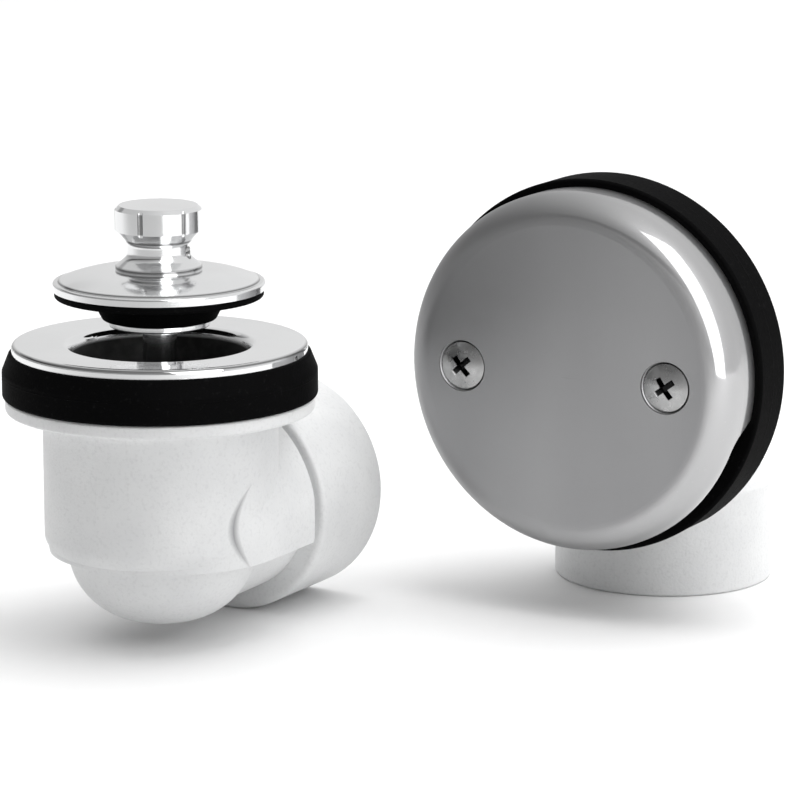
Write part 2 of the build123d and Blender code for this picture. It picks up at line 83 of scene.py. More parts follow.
class Value:
    """One shader socket, so that shader maths reads as Python expressions."""

    def __init__(self, shader, socket):
        self.shader = shader
        self.socket = socket

    def calc(self, operation, *operands):
        """A Math node on this value's tree."""
        return self.shader.node("ShaderNodeMath", {"operation": operation}, dict(enumerate(operands)))

    def __add__(self, other):
        return self.calc("ADD", self, other)

    def __sub__(self, other):
        return self.calc("SUBTRACT", self, other)

    def __rsub__(self, other):
        return self.calc("SUBTRACT", other, self)

    def __mul__(self, other):
        return self.calc("MULTIPLY", self, other)

    def __rmul__(self, other):
        return self.calc("MULTIPLY", other, self)

    def __abs__(self):
        return self.calc("ABSOLUTE", self)


class Shader:
    """A node tree in the making, with one method that adds any node."""

    MIX_COLOUR_A = 6
    MIX_COLOUR_B = 7
    MIX_COLOUR_RESULT = 2
    GENERATED = 0
    OBJECT = 3
    NUMBER_RESULT = 1

    def __init__(self, owner):
        owner.use_nodes = True
        self.owner = owner
        self.tree = owner.node_tree
        self.tree.nodes.clear()

    def node(self, kind, settings=None, inputs=None, output=0):
        """Adds a node: its settings first, then the values or links of its sockets."""
        made = self.tree.nodes.new(kind)
        for key, value in (settings or {}).items():
            setattr(made, key, value)
        for key, value in (inputs or {}).items():
            if isinstance(value, Value):
                self.tree.links.new(value.socket, made.inputs[key])
            else:
                made.inputs[key].default_value = value
        return Value(self, made.outputs[output])

    def finish(self, kind, surface):
        """Ends the tree with its output node."""
        end = self.tree.nodes.new(kind)
        self.tree.links.new(surface.socket, end.inputs["Surface"])
        return self.owner

    def here(self, stretch=(1.0, 1.0, 1.0)):
        """Object coordinates in metres, stretched along the axes."""
        place = self.node("ShaderNodeTexCoord", output=self.OBJECT)
        return self.node("ShaderNodeVectorMath", {"operation": "MULTIPLY"}, {0: place, 1: stretch})

    def along(self, axis):
        """One object coordinate, in metres."""
        return self.node("ShaderNodeSeparateXYZ", None, {0: self.here()}, output=axis)

    def noise(self, scale, detail=3.0, stretch=(1.0, 1.0, 1.0)):
        """Noise from 0 to 1, with scale in features a metre."""
        inputs = {"Vector": self.here(stretch), "Scale": scale, "Detail": detail}
        return self.node("ShaderNodeTexNoise", None, inputs)

    def fade(self, value, start, end):
        """0 where a value is at start, 1 where it is at end, even between them and flat beyond."""
        return self.node("ShaderNodeMapRange", None, {"Value": value, "From Min": start, "From Max": end})

    def seam(self, axis, place, half_width):
        """1 on the plane across an axis at a place, 0 half a seam's width away."""
        return self.fade(abs(self.along(axis) - place), half_width, 0.0)

    def blend(self, factor, first, second):
        """Two colours mixed by a factor."""
        return self.node(
            "ShaderNodeMix",
            {"data_type": "RGBA"},
            {0: factor, self.MIX_COLOUR_A: first, self.MIX_COLOUR_B: second},
            output=self.MIX_COLOUR_RESULT,
        )

    def radius(self, centre, across):
        """Distance from an axis through a centre, in metres; across is 1 on the two axes that count."""
        points = {0: self.here(across), 1: centre * Vector(across)}
        offset = self.node("ShaderNodeVectorMath", {"operation": "SUBTRACT"}, points)
        return self.node(
            "ShaderNodeVectorMath", {"operation": "LENGTH"}, {0: offset}, output=self.NUMBER_RESULT
        )

    def bump(self, height, distance):
        """A normal bumped by a height from 0 to 1 over a distance in metres."""
        return self.node("ShaderNodeBump", None, {"Height": height, "Distance": distance})

    def principled(self, inputs):
        """Ends a material with a Principled shader."""
        return self.finish("ShaderNodeOutputMaterial", self.node("ShaderNodeBsdfPrincipled", None, inputs))


def material_shader(name):
    """A new material's empty tree."""
    return Shader(bpy.data.materials.new(name))


def opaque(colour):
    """A colour as four channels."""
    return (*colour, 1.0)


# Finishes

# Half widths of the moulding lines, in metres
PVC_SEAM = 0.0003
RUBBER_SEAM = 0.0002

# Depth of each finish's relief, in metres
PVC_RELIEF = 0.00025
RUBBER_RELIEF = 0.0002
CHROME_RELIEF = 0.00008
CASTING_RELIEF = 0.00012
PLATE_RELIEF = 0.000025
STEEL_RELIEF = 0.00005
BRASS_RELIEF = 0.00005

# How strongly the specks and the dust colour what they lie on
SPECK_STRENGTH = 0.15
DUST_STRENGTH = 0.3

# The shoe's crease: how much it thins at its ends, its painted shade, and its depth in the relief
CREASE_THINNING = 0.7
CREASE_PAINTED_SHADE = 0.9
CREASE_SINK = 2.0

# Chrome: two roughnesses, and the share of the colour that is left where it was wiped dull
POST_ROUGHNESS = 0.12
STOPPER_ROUGHNESS = 0.14
WIPED_SHARE = 0.92

# Tone and strength of the painted shade on the chrome: dark lines and dark flutes in place of its shade and
# dark reflections
PAINTED_SHADE_TONE = (0.03, 0.03, 0.03)
PAINTED_LINE_STRENGTH = 0.85
PAINTED_FLUTE_STRENGTH = 0.7

# Each dark line of painted shade, in metres: depth below the top of the strainer or the knob, half width,
# and width of the band at the rim that it crosses; a band wider than the piece takes all of it
RIM_LINE = (0.0004, 0.0004, 0.0012)
NECK_LINE = (0.0087, 0.0005, 0.05)
FOOT_LINE = (0.0153, 0.0006, 0.0006)
DISC_LINE = (0.01855, 0.0003, 0.0018)
BAND_FADE = 0.0004

# The knob's flutes, in metres: their ends below its top, where their painted shade starts and is full, and
# its fade
FLUTE_TOP = 0.0010
FLUTE_FOOT = 0.0062
FLUTE_START = 0.0001
FLUTE_FULL = 0.0004
FLUTE_FADE = 0.0002

# Where the painted shade inside the strainer starts and is full below its top, in metres
THROAT_START = 0.0020
THROAT_FULL = 0.0032

# The faceplate, in metres: turn from its flat to its edge, and where its rubbed side starts and is full
EDGE_TURN = 0.002
RUBBED_START = -0.01
RUBBED_FULL = 0.02

# Where the floor's painted shade starts and is darkest, along Y in metres
FLOOR_SHADE_TURN = (-0.2, -0.5)


def barrel_crease(finishes, axis_y):
    """A function that gives a shader 1 in the bowed crease between the shoe's barrel and its cheek."""

    def crease(shader):
        rise = (shader.along(Z) - finishes.crease_z) * (1.0 / finishes.crease_half)
        bow = rise * rise
        offset = abs(shader.along(Y) - axis_y + finishes.crease_y - bow * finishes.crease_bow)
        thinning = bow * finishes.crease_width * CREASE_THINNING
        return shader.fade(offset + thinning, finishes.crease_width, 0.0)

    return crease


def moulded_pvc(name, finishes, seam_x, crease=None):
    """White moulded plastic: clouds, fine grain, specks, uneven gloss, a parting line and a sunk crease with
    painted shade.
    """
    shader = material_shader(name)
    cloud = shader.noise(scale=48.0, detail=5.0)
    grain = shader.noise(scale=1500.0, detail=3.0)
    flow = shader.noise(scale=60.0, detail=3.0, stretch=(1.0, 1.0, 0.22))
    speck = shader.fade(shader.noise(scale=1150.0, detail=2.0), start=0.52, end=0.72)
    patches = shader.fade(cloud, start=0.3, end=0.7)
    clean = shader.blend(patches, opaque(finishes.pvc_shade), opaque(finishes.pvc))
    seam = shader.seam(X, seam_x, PVC_SEAM)
    tone = shader.blend(speck * SPECK_STRENGTH, clean, opaque(finishes.pvc_speck))
    relief = grain * 0.35 + flow * 0.15 + seam * 0.2
    if crease:
        sunk = crease(shader)
        # painted shade: the crease is darkened in colour as well as sunk in the relief
        tone = shader.blend(sunk * CREASE_PAINTED_SHADE, tone, opaque(finishes.pvc_crease_painted_shade))
        relief = relief - sunk * CREASE_SINK
    return shader.principled(
        {
            "Base Color": tone,
            "Roughness": cloud * 0.14 + flow * 0.10 + 0.30,
            "Normal": shader.bump(relief, PVC_RELIEF),
            "IOR": 1.53,
            "Specular IOR Level": 0.4,
        }
    )


def black_rubber(name, finishes, seam_axis, seam_place):
    """Moulded rubber: near black, with a fine matt grain, faint bloom, dust and a flash line."""
    shader = material_shader(name)
    bloom = shader.noise(scale=70.0, detail=5.0)
    grain = shader.noise(scale=1700.0, detail=3.0)
    dust = shader.fade(shader.noise(scale=900.0, detail=2.0), start=0.62, end=0.8)
    tone = shader.blend(bloom, opaque(finishes.rubber), opaque(finishes.rubber_bloom))
    seam = shader.seam(seam_axis, seam_place, RUBBER_SEAM)
    return shader.principled(
        {
            "Base Color": shader.blend(dust * DUST_STRENGTH, tone, opaque(finishes.rubber_dust)),
            "Roughness": bloom * 0.16 + grain * 0.12 + 0.52,
            "Normal": shader.bump(grain * 0.5 + seam * 0.5, RUBBER_RELIEF),
            "Specular IOR Level": 0.02,
        }
    )


def painted_dark_lines(shader, lines):
    """1 on level lines of painted shade, each given as (height, half width, axis, least radius), and 0 away
    from them.
    """
    total = 0.0
    for height, half_width, axis, least_r in lines:
        outside = shader.fade(shader.radius(axis, ACROSS_Z), least_r - BAND_FADE, least_r)
        total = shader.seam(Z, height, half_width) * outside + total
    return total


def painted_level_line(line, top, axis, radius):
    """One line of painted shade for painted_dark_lines, on a piece of a radius about an axis."""
    depth, half_width, band = line
    return top - depth, half_width, axis, radius - band


def painted_flute_shade(shader, axis, outer_r, low, high):
    """1 inside the flutes that a turned head has between two heights, where their shade is painted, 0 on its
    round side.
    """
    sunk = shader.fade(shader.radius(axis, ACROSS_Z), outer_r - FLUTE_START, outer_r - FLUTE_FULL)
    half = (high - low) / 2
    return sunk * shader.fade(abs(shader.along(Z) - (low + high) / 2), half, half - FLUTE_FADE)


def plated_tone(shader, smear, colour, lines):
    """Chrome's colour, duller where it was wiped, with dark level lines of painted shade."""
    dull = tuple(channel * WIPED_SHARE for channel in colour)
    plated = shader.blend(shader.fade(smear, start=0.35, end=0.75), opaque(colour), opaque(dull))
    # painted shade: dark lines that stand in for shade and dark reflections on the chrome
    if lines:
        plated = shader.blend(painted_dark_lines(shader, lines) * PAINTED_LINE_STRENGTH, plated, opaque(PAINTED_SHADE_TONE))
    return plated


def polished_chrome(name, colour, roughness, lines=(), flutes=()):
    """Chrome plating: faint waviness, wiping marks in the gloss, fine hairlines, and painted shade in dark
    lines and flutes.
    """
    shader = material_shader(name)
    smear = shader.noise(scale=38.0, detail=5.0)
    hairline = shader.noise(scale=900.0, detail=2.0, stretch=(1.0, 1.0, 0.05))
    swell = shader.noise(scale=60.0, detail=1.0)
    plated = plated_tone(shader, smear, colour, lines)
    # painted shade in the knob's flutes
    if flutes:
        plated = shader.blend(painted_flute_shade(shader, *flutes) * PAINTED_FLUTE_STRENGTH, plated, opaque(PAINTED_SHADE_TONE))
    return shader.principled(
        {
            "Base Color": plated,
            "Metallic": 1.0,
            "Roughness": roughness * (smear * 0.8 + hairline * 0.4 + 0.4),
            "Normal": shader.bump(swell * 0.9 + hairline * 0.1, CHROME_RELIEF),
        }
    )


def strainer_finish(name, finishes, mouth_z, lines):
    """Chrome on the flange; below the mouth a rougher, less metallic, mottled inside, darkened with depth as
    painted shade.
    """
    shader = material_shader(name)
    smear = shader.noise(scale=38.0, detail=5.0)
    mottle = shader.noise(scale=260.0, detail=4.0)
    swell = shader.noise(scale=60.0, detail=1.0)
    # painted shade: the inside darkens with depth below the mouth
    depth = shader.fade(shader.along(Z), mouth_z - THROAT_START, mouth_z - THROAT_FULL)
    plated = plated_tone(shader, smear, finishes.chrome, lines)
    patches = shader.fade(mottle, start=0.4, end=0.75)
    throat_shade = shader.blend(patches, opaque(finishes.throat_painted_shade), opaque(finishes.throat_mottle))
    return shader.principled(
        {
            "Base Color": shader.blend(depth, plated, throat_shade),
            "Metallic": 1.0 - depth * 0.5,
            "Roughness": smear * 0.07 + depth * (mottle * 0.2 + 0.38) + 0.03,
            "Normal": shader.bump(swell * 0.4 + mottle * depth * 0.6, CASTING_RELIEF),
        }
    )


def satin_plate(name, finishes, centre, flat_r):
    """Satin plating with upright polishing lines, bright on the rubbed side of the rolled edge."""
    shader = material_shader(name)
    edge = shader.fade(shader.radius(centre, ACROSS_Y), flat_r, flat_r + EDGE_TURN)
    rubbed = shader.fade(shader.along(X), centre.x + RUBBED_START, centre.x + RUBBED_FULL)
    cloud = shader.noise(scale=22.0, detail=2.0, stretch=(1.0, 1.0, 0.45))
    brush = shader.noise(scale=700.0, detail=3.0, stretch=(1.0, 1.0, 0.035))
    pits = shader.fade(shader.noise(scale=1300.0, detail=1.0), start=0.70, end=0.78)
    patches = shader.fade(cloud, start=0.3, end=0.7)
    tone = shader.blend(patches, opaque(finishes.plate), opaque(finishes.plate_shade))
    return shader.principled(
        {
            "Base Color": tone,
            "Metallic": 1.0,
            "Roughness": cloud * 0.06 + brush * 0.03 + pits * 0.05 + 0.40,
            "Normal": shader.bump(brush * 0.1 + cloud * 0.9, PLATE_RELIEF),
            "Coat Weight": edge * rubbed - pits * 0.3,
            "Coat Roughness": 0.06,
            "Coat IOR": 3.0,
        }
    )


def bright_steel(name, finishes, hollow=None):
    """Plated steel, a little duller than the chrome, with turning marks and painted shade where hollow is 1.
    """
    shader = material_shader(name)
    worn = shader.noise(scale=420.0, detail=4.0)
    turning = shader.noise(scale=1400.0, detail=2.0, stretch=(0.2, 1.0, 0.2))
    tone = shader.blend(worn, opaque(finishes.steel), opaque(finishes.steel_shade))
    if hollow:
        # painted shade in the driver's cross
        tone = shader.blend(hollow(shader), tone, opaque(finishes.cross_painted_shade))
    return shader.principled(
        {
            "Base Color": tone,
            "Metallic": 1.0,
            "Roughness": worn * 0.16 + turning * 0.08 + 0.16,
            "Normal": shader.bump(turning, STEEL_RELIEF),
        }
    )


def turned_brass(name, finishes):
    """Bare turned brass, with fine tool rings and a little tarnish."""
    shader = material_shader(name)
    tarnish = shader.noise(scale=160.0, detail=4.0)
    rings = shader.noise(scale=1700.0, detail=2.0, stretch=(0.1, 0.1, 1.0))
    return shader.principled(
        {
            "Base Color": shader.blend(tarnish, opaque(finishes.brass), opaque(finishes.brass_shade)),
            "Metallic": 1.0,
            "Roughness": tarnish * 0.2 + 0.2,
            "Normal": shader.bump(rings, BRASS_RELIEF),
        }
    )


def pale_floor(name, finishes):
    """Plain pale floor with a hardly visible grain, and painted shade that makes it a little darker in front
    of the view.
    """
    shader = material_shader(name)
    grain = shader.noise(scale=220.0)
    near = shader.blend(grain, opaque(finishes.floor), opaque(finishes.floor_shade))
    # painted shade: the floor darkens towards the front of the view
    front = shader.fade(shader.along(Y), *FLOOR_SHADE_TURN)
    return shader.principled(
        {
            "Base Color": shader.blend(front, near, opaque(finishes.floor_painted_shade)),
            "Roughness": grain * 0.1 + 0.6,
            "Specular IOR Level": 0.0,
        }
    )


def wear(node, material):
    """Puts a material on a CAD node."""
    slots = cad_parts[node].data.materials
    slots.clear()
    slots.append(material)


# Screws

# Edges of the screws sharper than this stay sharp
SHARP_EDGE = math.radians(32)

# A thread's flanks: their slope, and how far the root cuts them off
FLANK_SLOPE = 1.8
FLANK_ROOT = 0.35

# How much wider the driver's cross is in front of the head than on it
RECESS_FLARE = 1.15

# Painted shade in the cross: depths in metres, then shares of the cross's depth and reach, where it fades in
# or out
CROSS_SHADE_DEPTHS = (0.0001, 0.0005)
CROSS_SHADE_FOOT = (1.3, 1.1)
CROSS_SHADE_REACH = (1.2, 1.1)


def smooth_piece(name, mesh, material, crease):
    """An object of a mesh, smooth apart from edges sharper than the crease."""
    mesh.polygons.foreach_set("use_smooth", [True] * len(mesh.polygons))
    mesh.set_sharp_from_angle(angle=crease)
    mesh.materials.clear()
    mesh.materials.append(material)
    piece = bpy.data.objects.new(name, mesh)
    bpy.context.scene.collection.objects.link(piece)
    return piece


def ring_solid(rings):
    """A closed mesh from rings of points, with a fan of faces over the first ring and the last."""
    shape = bmesh.new()
    loops = [[shape.verts.new(point) for point in ring] for ring in rings]
    count = len(rings[0])
    for near, far in zip(loops, loops[1:]):
        for index in range(count):
            after = (index + 1) % count
            shape.faces.new((near[index], near[after], far[after], far[index]))
    for loop, points in ((loops[0], rings[0]), (loops[-1], rings[-1])):
        centre = shape.verts.new(sum(points, Vector()) / count)
        for index in range(count):
            shape.faces.new((loop[index], loop[(index + 1) % count], centre))
    bmesh.ops.recalc_face_normals(shape, faces=shape.faces)
    mesh = bpy.data.meshes.new("ring_solid")
    shape.to_mesh(mesh)
    shape.free()
    return mesh


def thread_height(turns):
    """The height of a thread, from 0 in its root to 1 on its crest, after a number of turns."""
    return min(1.0, max(0.0, FLANK_SLOPE * (1.0 - abs(2.0 * (turns % 1.0) - 1.0)) - FLANK_ROOT))


def screw_profile(screws, head_r, length):
    """Stations along a screw from its front, as (depth, radius, thread's share of its full height)."""
    stations = []
    for index in range(1, screws.crown_rings + 1):
        share = index / screws.crown_rings
        stations.append((screws.crown * share**2, head_r * share, 0.0))
    cone_end = screws.crown + screws.cone
    stations += [(screws.crown + screws.head_edge, head_r, 0.0), (cone_end, screws.shank_r, 0.0)]
    thread_end = length - screws.tip
    step = screws.pitch / screws.pitch_rings
    for index in range(1, int((thread_end - cone_end) / step)):
        depth = cone_end + index * step
        run_out = min(1.0, (depth - cone_end) / screws.pitch, (thread_end - depth) / screws.pitch)
        stations.append((depth, screws.shank_r, run_out))
    return stations + [(thread_end, screws.shank_r, 0.0), (length, screws.shank_r - screws.tip, 0.0)]


def screw_front(low, high):
    """The middle of the front of a screw's box."""
    return Vector(((low.x + high.x) / 2, low.y, (low.z + high.z) / 2))


def head_radius(screws, low, high):
    """The radius of a screw's head, inside the dark gap round it."""
    return (high.x - low.x) / 2 - screws.ring_gap


def screw_solid(screws, low, high):
    """An oval-headed screw along +Y that fills a node's box, threaded below its head."""
    front = screw_front(low, high)
    rings = []
    for depth, radius, share in screw_profile(screws, head_radius(screws, low, high), high.y - low.y):
        ring = []
        for index in range(screws.segments):
            turn = index / screws.segments
            sunk = share * screws.thread_depth * (1.0 - thread_height(depth / screws.pitch - turn))
            angle, reach = 2 * math.pi * turn, radius - sunk
            ring.append(front + Vector((reach * math.cos(angle), depth, reach * math.sin(angle))))
        rings.append(ring)
    return ring_solid(rings)


def recess_cutter(screws, low, high, turn):
    """The driver's cross, wide at the head's front and narrow at its foot."""
    front = screw_front(low, high)
    rings = []
    stations = ((-screws.crown, RECESS_FLARE), (0.0, 1.0), (screws.recess_depth, screws.recess_taper))
    for depth, scale in stations:
        half, thin = screws.recess_span / 2 * scale, screws.recess_width / 2
        ring = []
        for quarter in range(4):
            angle = turn + quarter * math.pi / 2
            cos, sin = math.cos(angle), math.sin(angle)
            for along, across in ((half, -thin), (half, thin), (thin, thin)):
                ring.append(front + Vector((along * cos - across * sin, depth, along * sin + across * cos)))
        rings.append(ring)
    return ring_solid(rings)


def recess_finder(screws, low, high):
    """A function that gives a shader 1 inside the driver's cross, where its shade is painted, and 0 on the
    rest of the screw.
    """
    front = screw_front(low, high)
    crown_bend = screws.crown / head_radius(screws, low, high) ** 2
    foot = [share * screws.recess_depth for share in CROSS_SHADE_FOOT]
    sides = [share * screws.recess_span / 2 for share in CROSS_SHADE_REACH]

    def hollow(shader):
        reach = shader.radius(front, ACROSS_Y)
        depth = shader.along(Y) - low.y
        sunk = shader.fade(depth - reach * reach * crown_bend, *CROSS_SHADE_DEPTHS)
        return sunk * shader.fade(depth, *foot) * shader.fade(reach, *sides)

    return hollow


def cut_out(mesh, cutter_mesh):
    """A mesh with another one cut out of it."""
    scene = bpy.context.scene
    body = bpy.data.objects.new("cut_body", mesh)
    cutter = bpy.data.objects.new("cutter", cutter_mesh)
    for piece in (body, cutter):
        scene.collection.objects.link(piece)
    modifier = body.modifiers.new("recess", "BOOLEAN")
    modifier.operation = "DIFFERENCE"
    modifier.solver = "EXACT"
    modifier.object = cutter
    result = bpy.data.meshes.new_from_object(body.evaluated_get(bpy.context.evaluated_depsgraph_get()))
    for piece in (body, cutter):
        bpy.data.objects.remove(piece)
    return result


# Settings


def colour_property(name, description, default):
    """A colour setting."""
    return FloatVectorProperty(
        name=name, description=description, subtype="COLOR", min=0.0, max=1.0, default=default
    )


def length_property(name, description, default):
    """A length setting, in metres."""
    return FloatProperty(name=name, description=description, unit="LENGTH", precision=5, default=default)


def angle_property(name, description, degrees):
    """An angle setting, with its default in degrees."""
    return FloatProperty(name=name, description=description, subtype="ANGLE", default=math.radians(degrees))


def share_property(name, description, default):
    """A share from 0 to 1."""
    return FloatProperty(
        name=name, description=description, subtype="FACTOR", min=0.0, max=1.0, default=default
    )


def power_property(name, description, default):
    """A light's power, in watts."""
    return FloatProperty(name=name, description=description, unit="POWER", min=0.0, default=default)


def count_property(name, description, default):
    """A count of rings or faces."""
    return IntProperty(name=name, description=description, subtype="UNSIGNED", min=1, default=default)


class BathSetFinishes(bpy.types.PropertyGroup):
    """Colours of the finishes, and sizes of the shoe's crease and the faceplate's edge."""

    pvc: colour_property("Plastic", "White moulded plastic", (0.76, 0.765, 0.765))
    pvc_shade: colour_property("Plastic, clouded", "Cloudier patches of the plastic", (0.68, 0.685, 0.69))
    pvc_speck: colour_property("Plastic specks", "Fine grey specks in the plastic", (0.38, 0.38, 0.39))
    # Painted shade in the shoe's crease
    pvc_crease_painted_shade: colour_property("Plastic crease", "Shade in the shoe's crease", (0.26, 0.26, 0.27))
    crease_z: length_property("Crease height", "Middle of the shoe's crease", 0.0325)
    crease_y: length_property("Crease place", "From the shoe's axis forward to the crease", 0.0103)
    crease_half: length_property("Crease reach", "Half of the crease's height", 0.0095)
    crease_bow: length_property("Crease bow", "How far the crease's ends bend back", 0.0048)
    crease_width: length_property("Crease width", "From the crease's middle to its side", 0.0017)
    rubber: colour_property("Rubber", "Black moulded rubber", (0.0012, 0.0012, 0.0013))
    rubber_bloom: colour_property("Rubber bloom", "Paler bloom on the rubber", (0.0030, 0.0030, 0.0032))
    rubber_dust: colour_property("Rubber dust", "Dust in the rubber's grain", (0.02, 0.02, 0.02))
    chrome: colour_property("Chrome", "Bright plating of the strainer and the stopper", (0.84, 0.845, 0.85))
    # Painted shade inside the strainer, and its mottling
    throat_painted_shade: colour_property("Throat", "Dark casting inside the strainer", (0.005, 0.005, 0.005))
    throat_mottle: colour_property("Throat mottle", "Mottling inside the strainer", (0.035, 0.035, 0.035))
    plate: colour_property("Faceplate", "Satin plating of the faceplate", (0.37, 0.37, 0.375))
    plate_shade: colour_property("Faceplate, clouded", "Darker clouds of the faceplate", (0.31, 0.31, 0.315))
    plate_edge: length_property("Faceplate edge", "Width of the faceplate's bright rolled edge", 0.007)
    steel: colour_property("Steel", "Plated steel of the screws", (0.50, 0.50, 0.50))
    steel_shade: colour_property("Steel, worn", "Duller patches of the screws", (0.30, 0.30, 0.30))
    # Painted shade in the driver's cross
    cross_painted_shade: colour_property("Dirt", "Dirt in the driver's cross", (0.015, 0.015, 0.015))
    brass: colour_property("Brass", "Bare turned brass", (0.72, 0.56, 0.28))
    brass_shade: colour_property("Brass, tarnished", "Tarnish on the brass", (0.45, 0.33, 0.16))
    floor: colour_property("Floor", "Pale floor", (0.90, 0.90, 0.90))
    floor_shade: colour_property("Floor grain", "Grain of the floor", (0.885, 0.885, 0.885))
    # Painted shade on the floor in front of the view
    floor_painted_shade: colour_property("Floor, front", "The floor in front of the view", (0.54, 0.54, 0.54))


class BathSetScrews(bpy.types.PropertyGroup):
    """Sizes of the faceplate's screws."""

    crown: length_property("Crown", "Height of the head's oval crown", 0.0013)
    crown_rings: count_property("Crown rings", "Rings of faces on the crown", 10)
    head_edge: length_property("Head edge", "Straight edge between crown and cone", 0.0002)
    cone: length_property("Cone", "Length of the head's cone", 0.0036)
    ring_gap: length_property("Ring gap", "Dark gap round the head", 0.00055)
    shank_r: length_property("Shank", "Radius of the thread's crest", 0.003)
    tip: length_property("Tip", "Chamfer at the point", 0.0008)
    pitch: length_property("Pitch", "From one thread to the next", 0.00127)
    pitch_rings: count_property("Pitch rings", "Rings of faces in one pitch", 10)
    thread_depth: length_property("Thread depth", "From the thread's crest to its root", 0.00065)
    segments: count_property("Segments", "Faces round the screw", 48)
    recess_span: length_property("Recess span", "Across the driver's cross", 0.0066)
    recess_width: length_property("Recess width", "Width of the cross's arms", 0.0015)
    recess_depth: length_property("Recess depth", "Depth of the driver's cross", 0.0026)
    recess_taper: share_property("Taper", "Span of the cross at its foot, as a share", 0.45)
    recess_turns: FloatVectorProperty(
        name="Turns",
        description="Turn of the left and right crosses",
        subtype="EULER",
        size=2,
        default=(math.radians(42.0), math.radians(36.0)),
    )


class BathSetStage(bpy.types.PropertyGroup):
    """Camera, floor and lights."""

    azimuth: angle_property("Azimuth", "Camera's turn about the set", 29.5)
    elevation: angle_property("Elevation", "Camera's height angle", 12.0)
    distance: length_property("Distance", "From the camera to its target", 1.0)
    lens: FloatProperty(name="Lens", description="Focal length", unit="CAMERA", default=178.5)
    target: FloatVectorProperty(
        name="Target",
        description="Point that the camera looks at",
        subtype="TRANSLATION",
        default=(-0.0019, -0.01065, 0.0565),
    )
    floor_size: length_property("Floor", "Side of the floor", 6.0)
    sky_high: share_property("Bright sky", "Light from behind", 0.86)
    sky_low: share_property("Dim sky", "Light from in front", 0.38)
    sky_side: FloatVectorProperty(
        name="Bright side",
        description="Towards the brightest sky",
        subtype="DIRECTION",
        default=(0.35, 0.75, 0.50),
    )
    seam_low: angle_property("Seam, low", "Foot of the surround's dark seam", 20.0)
    seam_high: angle_property("Seam, high", "Top of the surround's dark seam", 32.0)
    seam_depth: share_property("Seam depth", "How dark the surround's seam is", 0.8)
    top_power: power_property("Top light", "Power of the top softbox", 40.0)
    streak_power: power_property("Streak light", "Power of the softbox that the plating mirrors", 3.8)
    right_power: power_property("Right light", "Power of the softbox at the right", 3.0)
    high_power: power_property("High light", "Power of the softbox overhead", 5.0)


# Operators


class BATHSET_OT_fittings(bpy.types.Operator):
    """Finish the moulded shoe and elbow"""

    bl_idname = "bath_set.fittings"
    bl_label = "Moulded fittings"

    def execute(self, context):
        finishes = context.scene.bath_finishes
        shoe_axis = middle("shoe_gasket")
        crease = barrel_crease(finishes, shoe_axis.y)
        wear("waste_shoe", moulded_pvc("shoe_pvc", finishes, shoe_axis.x, crease))
        wear("overflow_elbow", moulded_pvc("elbow_pvc", finishes, middle("overflow_gasket").x))
        return {"FINISHED"}


class BATHSET_OT_rubber(bpy.types.Operator):
    """Finish the gaskets, the stopper's seal and the post's ring"""

    bl_idname = "bath_set.rubber"
    bl_label = "Rubber gaskets and seals"

    def execute(self, context):
        for node in RUBBER_PIECES:
            axis = Y if node == "overflow_gasket" else Z
            material = black_rubber(node + "_rubber", context.scene.bath_finishes, axis, middle(node)[axis])
            wear(node, material)
        return {"FINISHED"}


class BATHSET_OT_strainer(bpy.types.Operator):
    """Finish the strainer, its post and the cross pin"""

    bl_idname = "bath_set.strainer"
    bl_label = "Strainer"

    def execute(self, context):
        finishes = context.scene.bath_finishes
        low, high = ends("strainer_body")
        # painted shade: a dark line round the strainer's rim
        rim = painted_level_line(RIM_LINE, high.z, (low + high) / 2, (high.x - low.x) / 2)
        wear("strainer_body", strainer_finish("strainer_chrome", finishes, high.z, [rim]))
        wear("stopper_post", polished_chrome("stopper_post_chrome", finishes.chrome, POST_ROUGHNESS))
        wear("cross_pin", bright_steel("cross_pin_steel", finishes))
        return {"FINISHED"}


class BATHSET_OT_stopper(bpy.types.Operator):
    """Finish the stopper's knob, disc, ring nut, set screw and sleeve"""

    bl_idname = "bath_set.stopper"
    bl_label = "Stopper"

    def execute(self, context):
        finishes = context.scene.bath_finishes
        low, high = ends("stopper_knob")
        axis = middle("stopper_knob")
        knob_r = axis.x - low.x
        disc_r = axis.x - ends("stopper_disc")[0].x
        # painted shade: dark lines round the knob's neck and foot and the disc's rim, and dark flutes on the
        # knob
        lines = {
            "stopper_knob": [painted_level_line(line, high.z, axis, knob_r) for line in (NECK_LINE, FOOT_LINE)],
            "stopper_disc": [painted_level_line(DISC_LINE, high.z, axis, disc_r)],
        }
        flutes = {"stopper_knob": (axis, knob_r, high.z - FLUTE_FOOT, high.z - FLUTE_TOP)}
        for node in STOPPER_PIECES:
            # painted shade on each piece: its dark lines and dark flutes
            marks = lines.get(node, ()), flutes.get(node, ())
            wear(node, polished_chrome(node + "_chrome", finishes.chrome, STOPPER_ROUGHNESS, *marks))
        wear("knob_set_screw", bright_steel("knob_set_screw_steel", finishes))
        return {"FINISHED"}


class BATHSET_OT_faceplate(bpy.types.Operator):
    """Finish the overflow's faceplate"""

    bl_idname = "bath_set.faceplate"
    bl_label = "Faceplate"

    def execute(self, context):
        finishes = context.scene.bath_finishes
        low, high = ends("overflow_faceplate")
        centre = Vector((low.x + high.x, low.y + high.y, 2 * high.z - (high.x - low.x))) / 2
        flat_r = (high.x - low.x) / 2 - finishes.plate_edge
        wear("overflow_faceplate", satin_plate("faceplate_plating", finishes, centre, flat_r))
        return {"FINISHED"}


